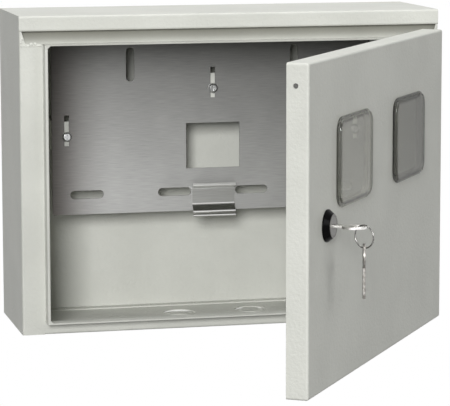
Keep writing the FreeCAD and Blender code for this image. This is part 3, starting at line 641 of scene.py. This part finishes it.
def join_loops(bm, loops, capped=True):
    """Skins a row of closed loops that all have the same number of points."""
    rows = [[bm.verts.new(point) for point in loop] for loop in loops]
    for near, far in zip(rows, rows[1:]):
        for i in range(len(near)):
            j = (i + 1) % len(near)
            bm.faces.new((near[i], near[j], far[j], far[i]))
    if capped:
        bm.faces.new(rows[0])
        bm.faces.new(rows[-1])


def moved(points, matrix):
    """Points in millimetres, moved by a matrix that works in metres."""
    return [matrix @ (Vector(point) * MM) for point in points]


def turns_of(steps):
    """Angles of points that lie evenly around a circle."""
    return [2 * math.pi * i / steps for i in range(steps)]


print("four points around a circle, degrees:", [round(math.degrees(turn)) for turn in turns_of(4)])

# %% [markdown]
# ## Windows
# A snap-in window is moulded in one piece: a flange that lies on the seal, a raised pane with a
# rounded rim, and a skirt with two clips on each side that spring behind the sheet. The rounded rim
# is what shows most, as thin bright and dark lines. A section of the moulding, given as pairs of
# inset and height, is swept around a rounded rectangle.

# %% Window mouldings
# Lengths in millimetres. The clips' front and back are places along Y on the closed door
WINDOW_WIDTH = 96.0
WINDOW_HEIGHT = 80.0
WINDOW_RADIUS = 13.0
WINDOW_X = 85.0
WINDOW_Z = 43.0
RIM_SECTION = [(6.5, 3.3), (6.0, 2.9), (6.0, -3.5), (4.5, -3.5), (4.5, 0.8), (0.1, 0.8), (0.0, 1.0),
               (0.0, 1.7), (0.2, 2.1), (0.6, 2.3), (1.6, 2.3), (1.9, 2.45), (2.0, 2.8), (2.2, 3.9),
               (2.4, 4.4), (2.9, 4.7), (3.6, 4.8)]
SKIRT_INSET = 4.5
CLIP_RISE = 11.0
CLIP_HALF_WIDE = 2.5
CLIP_ROOT = 0.5
CLIP_REACH = 5.0
CLIP_FRONT = -148.6
CLIP_BACK = -146.4
CORNER_STEPS = 10


def rounded_loop(width, height, radius):
    """Points (x, z) of an upright rectangle with round corners."""
    points = []
    for k, (sx, sz) in enumerate(((1, 1), (-1, 1), (-1, -1), (1, -1))):
        for i in range(CORNER_STEPS + 1):
            turn = math.radians(90 * k + 90 * i / CORNER_STEPS)
            points.append((sx * (width / 2 - radius) + radius * math.cos(turn),
                           sz * (height / 2 - radius) + radius * math.sin(turn)))
    return points


def add_box(bm, low, high, matrix):
    corners = [(x, y, z) for x in (low[0], high[0]) for y in (low[1], high[1]) for z in (low[2], high[2])]
    verts = [bm.verts.new(point) for point in moved(corners, matrix)]
    for face in ((0, 1, 3, 2), (4, 6, 7, 5), (0, 4, 5, 1), (2, 3, 7, 6), (0, 2, 6, 4), (1, 5, 7, 3)):
        bm.faces.new([verts[i] for i in face])


def window_moulding(name, node_name, x, material):
    bm = bmesh.new()
    loops = []
    for inset, height in RIM_SECTION:
        outline = rounded_loop(WINDOW_WIDTH - 2 * inset, WINDOW_HEIGHT - 2 * inset, WINDOW_RADIUS - inset)
        points = [(x + px, DOOR_FACE - height, WINDOW_Z + pz) for px, pz in outline]
        loops.append(moved(points, swing))
    join_loops(bm, loops)
    skirt = WINDOW_WIDTH / 2 - SKIRT_INSET
    for side in (-1, 1):
        for rise in (-CLIP_RISE, CLIP_RISE):
            span = sorted((x + side * (skirt - CLIP_ROOT), x + side * (skirt + CLIP_REACH)))
            z = WINDOW_Z + rise
            add_box(bm, (span[0], CLIP_FRONT, z - CLIP_HALF_WIDE), (span[1], CLIP_BACK, z + CLIP_HALF_WIDE),
                    swing)
    piece = make_piece(name, bm, material, "door")
    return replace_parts(piece, node_name)


window_moulding("window_moulding_left", "window_left", -WINDOW_X, clear_plastic)
window_moulding("window_moulding_right", "window_right", WINDOW_X, right_window_shaded_plastic)
print("window section points:", len(RIM_SECTION))

# %% [markdown]
# ## Keys
# A cylinder key is milled from a nickel-silver blank. Long grooves run along the blade, its edge has
# a few cuts, and the round bow is coined a little thinner inside its rim. Seen edge-on, these
# hollows give the dark and bright lines. The blade is a row of cross-sections, and the bow is a row of
# loops that pass from the outer circle to the off-centre hole.

# %% Blade
KEY_HALF_THICK = 1.25
KEY_HALF_WIDE = 4.0
KEY_LENGTH = 26.5
BLADE_START = -1.5
BLADE_EDGE = 0.3
# Widths across the blade where a groove starts, reaches its floor, leaves it and ends
GROOVE_WIDTHS = (-1.9, -1.3, -0.5, 0.1)
GROOVE_DEPTH = 0.65
BIT_DEPTHS = (0.3, 0.5, 0.25, 0.45)
FIRST_CUT = 9.5
CUT_PITCH = 3.4
CUT_HALF_FLOOR = 0.7
CUT_HALF_MOUTH = 1.6
TIP_LENGTH = 2.6
TIP_HALF_WIDE = 2.2


def blade_section(low, high):
    """Cross-section of the blade between two widths, with one groove on each side."""
    t = KEY_HALF_THICK
    floor = t - GROOVE_DEPTH
    e = BLADE_EDGE
    a, b, c, d = GROOVE_WIDTHS
    return [(low, -t + e), (low + e, -t), (a, -t), (b, -floor), (c, -floor), (d, -t), (high - e, -t),
            (high, -t + e), (high, t - e), (high - e, t), (-a, t), (-b, floor), (-c, floor), (-d, t),
            (low + e, t), (low, t - e)]


def blade_stations():
    """Places along the blade, each with its lowest and highest width."""
    w = KEY_HALF_WIDE
    stations = [(BLADE_START, -w, w)]
    for k, depth in enumerate(BIT_DEPTHS):
        y = FIRST_CUT + k * CUT_PITCH
        stations += [(y - CUT_HALF_MOUTH, -w, w), (y - CUT_HALF_FLOOR, -w, w - depth),
                     (y + CUT_HALF_FLOOR, -w, w - depth), (y + CUT_HALF_MOUTH, -w, w)]
    return stations + [(KEY_LENGTH - TIP_LENGTH, -w, w), (KEY_LENGTH, -TIP_HALF_WIDE, TIP_HALF_WIDE)]


print("stations along the blade:", len(blade_stations()))

# %% Bow and key
KEY_BOW_RADIUS = 10.7
KEY_HOLE_RADIUS = 4.0
# Metal between the hole and the end of the bow
KEY_STRIP = 3.0
BOW_STEPS = 48
# Share of the way from the outer circle to the hole, and half the thickness there
BOW_SECTION = [(0.06, -1.1), (0.0, -0.8), (0.0, 0.8), (0.06, 1.1), (0.2, 1.1), (0.3, 0.6), (0.7, 0.6),
               (0.8, 1.1), (0.95, 1.1), (1.0, 0.8), (1.0, -0.8), (0.95, -1.1), (0.8, -1.1), (0.7, -0.6),
               (0.3, -0.6), (0.2, -1.1)]


def key_piece(name, node_name, body, matrix, material):
    """Key whose shoulder is at 0: blade towards +Y, bow towards -Y, thin along Z."""
    bm = bmesh.new()
    blade = [moved([(px, y, pz) for px, pz in blade_section(low, high)], matrix)
             for y, low, high in blade_stations()]
    join_loops(bm, blade)
    hole_y = -2 * KEY_BOW_RADIUS + KEY_STRIP + KEY_HOLE_RADIUS
    rings = []
    for share, t in BOW_SECTION + BOW_SECTION[:1]:
        centre = (1 - share) * -KEY_BOW_RADIUS + share * hole_y
        radius = (1 - share) * KEY_BOW_RADIUS + share * KEY_HOLE_RADIUS
        rings.append(moved([(radius * math.sin(a), centre + radius * math.cos(a), t)
                            for a in turns_of(BOW_STEPS)], matrix))
    join_loops(bm, rings, capped=False)
    bmesh.ops.remove_doubles(bm, verts=bm.verts, dist=SAME_POINT * MM)
    piece = make_piece(name, bm, material, body)
    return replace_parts(piece, node_name)


print("bow across in mm:", 2 * KEY_BOW_RADIUS)

# %% Two keys in their places
KEY_SHOULDER = -163.7
KEY_END = KEY_SHOULDER - 2 * KEY_BOW_RADIUS
RING_RADIUS = 9.9
RING_Y = KEY_END + KEY_STRIP / 2
RING_DROP = 7.78
RING_Z = LOCK_Z - RING_DROP
# Half the wire of the drawing's ring, and the play of the spare key that hangs on it
RING_WIRE = 0.6
RING_CLEARANCE = 0.3
# Degrees
SPARE_TURN = 19.0


def shift(x, y, z):
    return Matrix.Translation(Vector((x, y, z)) * MM)


key_place = swing @ shift(LOCK_X, KEY_SHOULDER, LOCK_Z)
hang_z = RING_Z - RING_RADIUS + RING_WIRE + RING_CLEARANCE + KEY_STRIP
spare_place = (swing @ shift(LOCK_X, RING_Y, 0) @ Matrix.Rotation(math.radians(SPARE_TURN), 4, "Z")
               @ shift(0, 0, hang_z) @ Matrix.Rotation(math.radians(-90), 4, "X")
               @ shift(0, 2 * KEY_BOW_RADIUS, 0))
key_piece("key_milled", "key", "key", key_place, lit_key_nickel)
key_piece("spare_key_milled", "spare_key", "spare_key", spare_place, shaded_key_nickel)
print("spare key hangs below the lock by mm:", round(LOCK_Z - hang_z, 2))

# %% [markdown]
# ## Split ring
# The ring is spring steel wound twice, with its ends pressed flat against the coil. The wire follows
# a flat spiral, so that the two turns lie side by side and their ends show as small steps. The key's
# hole is wider than the wire, so the ring doesn't hang quite square to the key but a little askew.

# %% Split ring
# Lengths in millimetres, COIL_ASKEW and COIL_START in degrees
COIL_TURNS = 2.0
COIL_WIRE = 0.37
COIL_SPREAD = 0.56
COIL_ASKEW = -20.0
COIL_FLATNESS = 1.6
COIL_START = 110.0
COIL_STEPS = 144
COIL_POINTS = 8


def split_ring(name, node_name):
    bm = bmesh.new()
    place = swing @ shift(LOCK_X, RING_Y, RING_Z) @ Matrix.Rotation(math.radians(COIL_ASKEW), 4, "Z")
    loops = []
    for i in range(COIL_STEPS + 1):
        along = i / COIL_STEPS
        turn = 2 * math.pi * COIL_TURNS * along + math.radians(COIL_START)
        side = COIL_SPREAD * (along - 0.5)
        loop = []
        for a in turns_of(COIL_POINTS):
            out = RING_RADIUS + COIL_FLATNESS * COIL_WIRE * math.cos(a)
            loop.append((side + COIL_WIRE * math.sin(a), out * math.cos(turn), out * math.sin(turn)))
        loops.append(moved(loop, place))
    join_loops(bm, loops)
    piece = make_piece(name, bm, spring_steel, "key_ring")
    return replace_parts(piece, node_name)


split_ring("split_ring_coil", "key_ring")
print("ring across in mm:", 2 * RING_RADIUS)

# %% [markdown]
# ## Turned pieces
# The lock's bezel and the earth studs are turned on a lathe, so each is a profile swept around an
# axis. A thread is drawn as ridges one pitch apart, which from any distance looks like the spiral.

# %% Lock bezel
# Radius and height above the door's face
BEZEL_STEPS = 64
BEZEL_SECTION = [(8.95, 5.7), (8.95, 6.1), (9.15, 6.3), (9.9, 6.3), (10.35, 6.15), (10.5, 5.85),
                 (10.3, 5.7), (8.95, 5.7)]


def turned(profile, matrix, steps):
    """Sweeps (radius, height) points around the matrix's own Y axis. Height counts towards -Y."""
    return [moved([(radius * math.cos(a), -height, radius * math.sin(a)) for a in turns_of(steps)], matrix)
            for radius, height in profile]


def lock_bezel():
    bm = bmesh.new()
    place = swing @ shift(LOCK_X, DOOR_FACE, LOCK_Z)
    join_loops(bm, turned(BEZEL_SECTION, place, BEZEL_STEPS), capped=False)
    bmesh.ops.remove_doubles(bm, verts=bm.verts, dist=SAME_POINT * MM)
    return make_piece("lock_bezel", bm, satin_nickel, "door")


lock_bezel()
print("bezel across in mm:", 2 * max(radius for radius, height in BEZEL_SECTION))

# %% Threaded studs
STUD_X = 150.0
STUD_Z = -115.0
STUD_RADIUS = 3.0
STUD_PITCH = 1.0
STUD_STEPS = 24
THREAD_DEPTH = 0.55
# How much thinner a stud is at its foot and at its tip
STUD_FOOT = 0.3
STUD_TIP = 0.9
# Places within one pitch, as shares of it
GROOVE_AT = 0.1
RIDGE_AT = 0.5
BODY_STUD_LENGTH = 18.0
BODY_STUD_ROOT = -1.2
DOOR_STUD_LENGTH = 12.0
DOOR_STUD_ROOT = -148.8


def thread_profile(length):
    """Stud with a chamfered end, counted from its root."""
    groove = STUD_RADIUS - THREAD_DEPTH
    profile = [(STUD_RADIUS - STUD_FOOT, 0.0)]
    ridges = int(length / STUD_PITCH)
    for k in range(ridges):
        profile += [(groove, (k + GROOVE_AT) * STUD_PITCH), (STUD_RADIUS, (k + RIDGE_AT) * STUD_PITCH)]
    return profile + [(groove, (ridges - GROOVE_AT) * STUD_PITCH), (STUD_RADIUS - STUD_TIP, length)]


def threaded_stud(name, node_name, body, length, matrix):
    bm = bmesh.new()
    join_loops(bm, turned(thread_profile(length), matrix, STUD_STEPS))
    piece = make_piece(name, bm, bright_zinc, body)
    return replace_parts(piece, node_name)


body_stud_place = shift(STUD_X, BODY_STUD_ROOT, STUD_Z)
door_stud_place = swing @ shift(STUD_X, DOOR_STUD_ROOT, STUD_Z) @ Matrix.Rotation(math.pi, 4, "Z")
threaded_stud("body_stud_thread", "body_earth_stud", "box", BODY_STUD_LENGTH, body_stud_place)
threaded_stud("door_stud_thread", "door_earth_stud", "door", DOOR_STUD_LENGTH, door_stud_place)
print("ridges on the longer stud:", int(BODY_STUD_LENGTH / STUD_PITCH))

# %% [markdown]
# ## Rolled rail
# The rail is bright strip that runs through rollers, which bend it little by little. The bends are
# wide and each flange comes out slightly crowned, and a crowned mirror gathers light in one thin
# line. The section is a row of heights and depths, joined by a smooth curve and swept sideways.

# %% Rolled rail
RAIL_HALF_LENGTH = 22.0
RAIL_SHEET = 1.0
# Height and depth of the front side of the strip, from the top edge down
RAIL_PATH = [(-22.2, -49.0), (-22.9, -49.4), (-24.2, -49.2), (-25.8, -48.6), (-26.7, -46.5),
             (-27.6, -43.6), (-29.0, -43.05), (-33.0, -43.0), (-38.0, -43.0), (-42.6, -43.0),
             (-43.6, -43.2), (-45.0, -44.1), (-48.2, -46.6), (-51.2, -48.9), (-53.0, -49.45),
             (-54.6, -49.5), (-56.0, -49.2), (-56.7, -48.7)]
CURVE_STEPS = 4


def smooth_curve(points, steps):
    """Curve through all points, with rounded turns between them."""
    curve = []
    ends = [points[0]] + points + [points[-1]]
    for before, start, end, after in zip(ends, ends[1:], ends[2:], ends[3:]):
        for i in range(steps):
            t = i / steps
            point = []
            for a, b, c, d in zip(before, start, end, after):
                point.append(0.5 * (2 * b + (c - a) * t + (2 * a - 5 * b + 4 * c - d) * t ** 2
                                    + (3 * b - a - 3 * c + d) * t ** 3))
            curve.append(point)
    return curve + [list(points[-1])]


def rolled_rail():
    """Strip of even thickness along the curve, swept sideways and closed at its ends."""
    front = smooth_curve(RAIL_PATH, CURVE_STEPS)
    back = []
    for i, (z, y) in enumerate(front):
        z0, y0 = front[max(i - 1, 0)]
        z1, y1 = front[min(i + 1, len(front) - 1)]
        length = math.hypot(z1 - z0, y1 - y0)
        back.append((z + RAIL_SHEET * (y1 - y0) / length, y - RAIL_SHEET * (z1 - z0) / length))
    bm = bmesh.new()
    ends = []
    for x in (-RAIL_HALF_LENGTH, RAIL_HALF_LENGTH):
        near = [bm.verts.new(Vector((x, y, z)) * MM) for z, y in front]
        far = [bm.verts.new(Vector((x, y, z)) * MM) for z, y in back]
        for i in range(len(near) - 1):
            bm.faces.new((near[i], near[i + 1], far[i + 1], far[i]))
        ends.append((near, far))
    for first, second in zip(ends[0], ends[1]):
        for i in range(len(first) - 1):
            bm.faces.new((first[i], first[i + 1], second[i + 1], second[i]))
    for i in (0, -1):
        bm.faces.new((ends[0][0][i], ends[0][1][i], ends[1][1][i], ends[1][0][i]))
    piece = make_piece("rolled_rail", bm, zinc_strip, "box")
    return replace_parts(piece, "rail")


rolled_rail()
print("points on the rail's section:", len(smooth_curve(RAIL_PATH, CURVE_STEPS)))

# %% [markdown]
# ## Soft edges
# No real edge is razor sharp. Stamped sheet has a small radius on the side where the punch went in,
# and turned heads are tumbled. A copy of a CAD piece with a bevel of a few tenths of a millimetre
# catches thin highlights, which makes steel sheet look like steel sheet.

# %% Bevelled copies
BEVEL_ANGLE = math.radians(30)
BEVEL_SEGMENTS = 2
BEVEL_ROUNDNESS = 0.5
FLAT_ANGLE = math.radians(0.5)
# In millimetres: corners of the CAD mesh that lie this close are one corner
SAME_CORNER = 0.01
bodies = frame["record"]["behaviour"]["bodies"]
body_of_node = {node: body for body, names in bodies.items() for node in names}
# Width of each bevel in millimetres
SOFT_EDGES = {
    "plate_screw_left": 0.7, "plate_screw_center": 0.7, "plate_screw_right": 0.7,
    "body_earth_nut": 0.5, "door_earth_nut": 0.5, "lock_nut": 0.6, "cam_screw": 0.5,
    "mounting_plate": 0.2, "lock_cam": 0.3, "lock_plug": 0.25,
}


def softened(node_name, width):
    """Copy of a CAD piece whose sharp edges are bevelled."""
    source = nodes[node_name]
    bm = bmesh.new()
    bm.from_mesh(source.data)
    bmesh.ops.remove_doubles(bm, verts=bm.verts, dist=SAME_CORNER * MM)
    bmesh.ops.dissolve_limit(bm, angle_limit=FLAT_ANGLE, verts=bm.verts, edges=bm.edges)
    sharp = [edge for edge in bm.edges if len(edge.link_faces) == 2 and edge.calc_face_angle() > BEVEL_ANGLE]
    bmesh.ops.bevel(bm, geom=sharp, offset=width * MM, segments=BEVEL_SEGMENTS,
                    profile=BEVEL_ROUNDNESS, affect="EDGES", clamp_overlap=True)
    body = body_of_node[node_name]
    piece = make_piece(node_name + "_soft", bm, source.data.materials[0], body)
    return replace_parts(piece, node_name)


for soft_name, soft_width in SOFT_EDGES.items():
    softened(soft_name, soft_width)
print("bevelled copies:", len(SOFT_EDGES))

# %% [markdown]
# ## Welds
# The flanges meet in welded seams that are ground and then painted over. At the top corners a few
# drops of the bead stay proud, and along the floor the spot welds show as small raised dots.

# %% Weld drops and dots
WELD_SEED = 4
# X, Y, Z, radius and height, in millimetres
WELD_DROPS = [(-198.5, -128.3, 127.8, 2.0, 1.2), (-194.5, -128.3, 128.2, 1.6, 1.1),
              (-206.5, -128.2, 133.0, 1.3, 0.9), (-208.2, -128.2, 129.5, 1.2, 0.8),
              (198.5, -128.3, 127.8, 1.8, 1.1), (205.5, -128.2, 131.5, 1.4, 0.9)]
WELD_ROUGHNESS = (0.9, 1.1)
DROP_SUBDIVISIONS = 2
FLOOR_DOT_START = -190.0
FLOOR_DOT_END = 195.0
FLOOR_DOT_STEP = 22.0
FLOOR_DOT_STRAY = 3.0
FLOOR_DOT_Y = -12.3
FLOOR_DOT_Z = -152.8
FLOOR_DOT_RADIUS = 1.0
FLOOR_DOT_HEIGHT = 0.9


def weld_drop(bm, centre, radius, height):
    """Flattened ball, rough as a weld is."""
    made = bmesh.ops.create_icosphere(bm, subdivisions=DROP_SUBDIVISIONS, radius=radius * MM)
    for vert in made["verts"]:
        vert.co = vert.co * random.uniform(*WELD_ROUGHNESS)
        vert.co.y *= height / radius
        vert.co += Vector(centre) * MM


def weld_dots():
    bm = bmesh.new()
    for x, y, z, radius, height in WELD_DROPS:
        weld_drop(bm, (x, y, z), radius, height)
    x = FLOOR_DOT_START
    while x < FLOOR_DOT_END:
        stray = random.uniform(-FLOOR_DOT_STRAY, FLOOR_DOT_STRAY)
        weld_drop(bm, (x + stray, FLOOR_DOT_Y, FLOOR_DOT_Z), FLOOR_DOT_RADIUS, FLOOR_DOT_HEIGHT)
        x += FLOOR_DOT_STEP
    return make_piece("weld_dots", bm, shell_coat, "box")


random.seed(WELD_SEED)
weld_dots()
print("weld drops:", len(WELD_DROPS))

# %% [markdown]
# ## Weld beads and the hemmed lip
# Where the top panel's band meets a side flange, a thin bead runs from the outer edge to the lip. The
# upright lip on the free side is hemmed: its edge is folded over, so nobody gets cut on it.

# %% Beads and hem
BEAD_HEIGHT = 126.2
BEAD_FRONT = -128.0
BEAD_SPANS = {"weld_bead_left": (-208.6, -188.4), "weld_bead_right": (187.4, 208.6)}
BEAD_STEP = 0.7
BEAD_POINTS = 8
BEAD_RADII = (0.7, 1.0)
BEAD_WAVER = 0.15
HEM_BOTTOM = -139.0
HEM_TOP = 124.0
# Section of the hem, X and Y, from the outer corner around
HEM_SECTION = [(-187.1, -141.6), (-186.8, -141.95), (-185.0, -141.95), (-184.4, -141.4),
               (-184.3, -138.6), (-184.7, -138.0), (-185.9, -137.8), (-186.2, -139.0)]


def weld_bead(name, start, end):
    """A bead along X whose thickness wavers as a hand-held torch leaves it."""
    bm = bmesh.new()
    loops = []
    steps = round((end - start) / BEAD_STEP)
    for i in range(steps + 1):
        x = start + (end - start) * i / steps
        radius = random.uniform(*BEAD_RADII)
        rise = random.uniform(-BEAD_WAVER, BEAD_WAVER)
        loops.append(moved([(x, BEAD_FRONT - radius * math.sin(a), BEAD_HEIGHT + rise + radius * math.cos(a))
                            for a in turns_of(BEAD_POINTS)], AS_DRAWN))
    join_loops(bm, loops)
    return make_piece(name, bm, shell_coat, "box")


def lip_hem():
    bm = bmesh.new()
    join_loops(bm, [moved([(x, y, z) for x, y in HEM_SECTION], AS_DRAWN)
                    for z in (HEM_BOTTOM, HEM_TOP)])
    return make_piece("lip_hem", bm, shell_coat, "box")


for bead_name, bead_span in BEAD_SPANS.items():
    weld_bead(bead_name, *bead_span)
lip_hem()
print("hem height in mm:", HEM_TOP - HEM_BOTTOM)
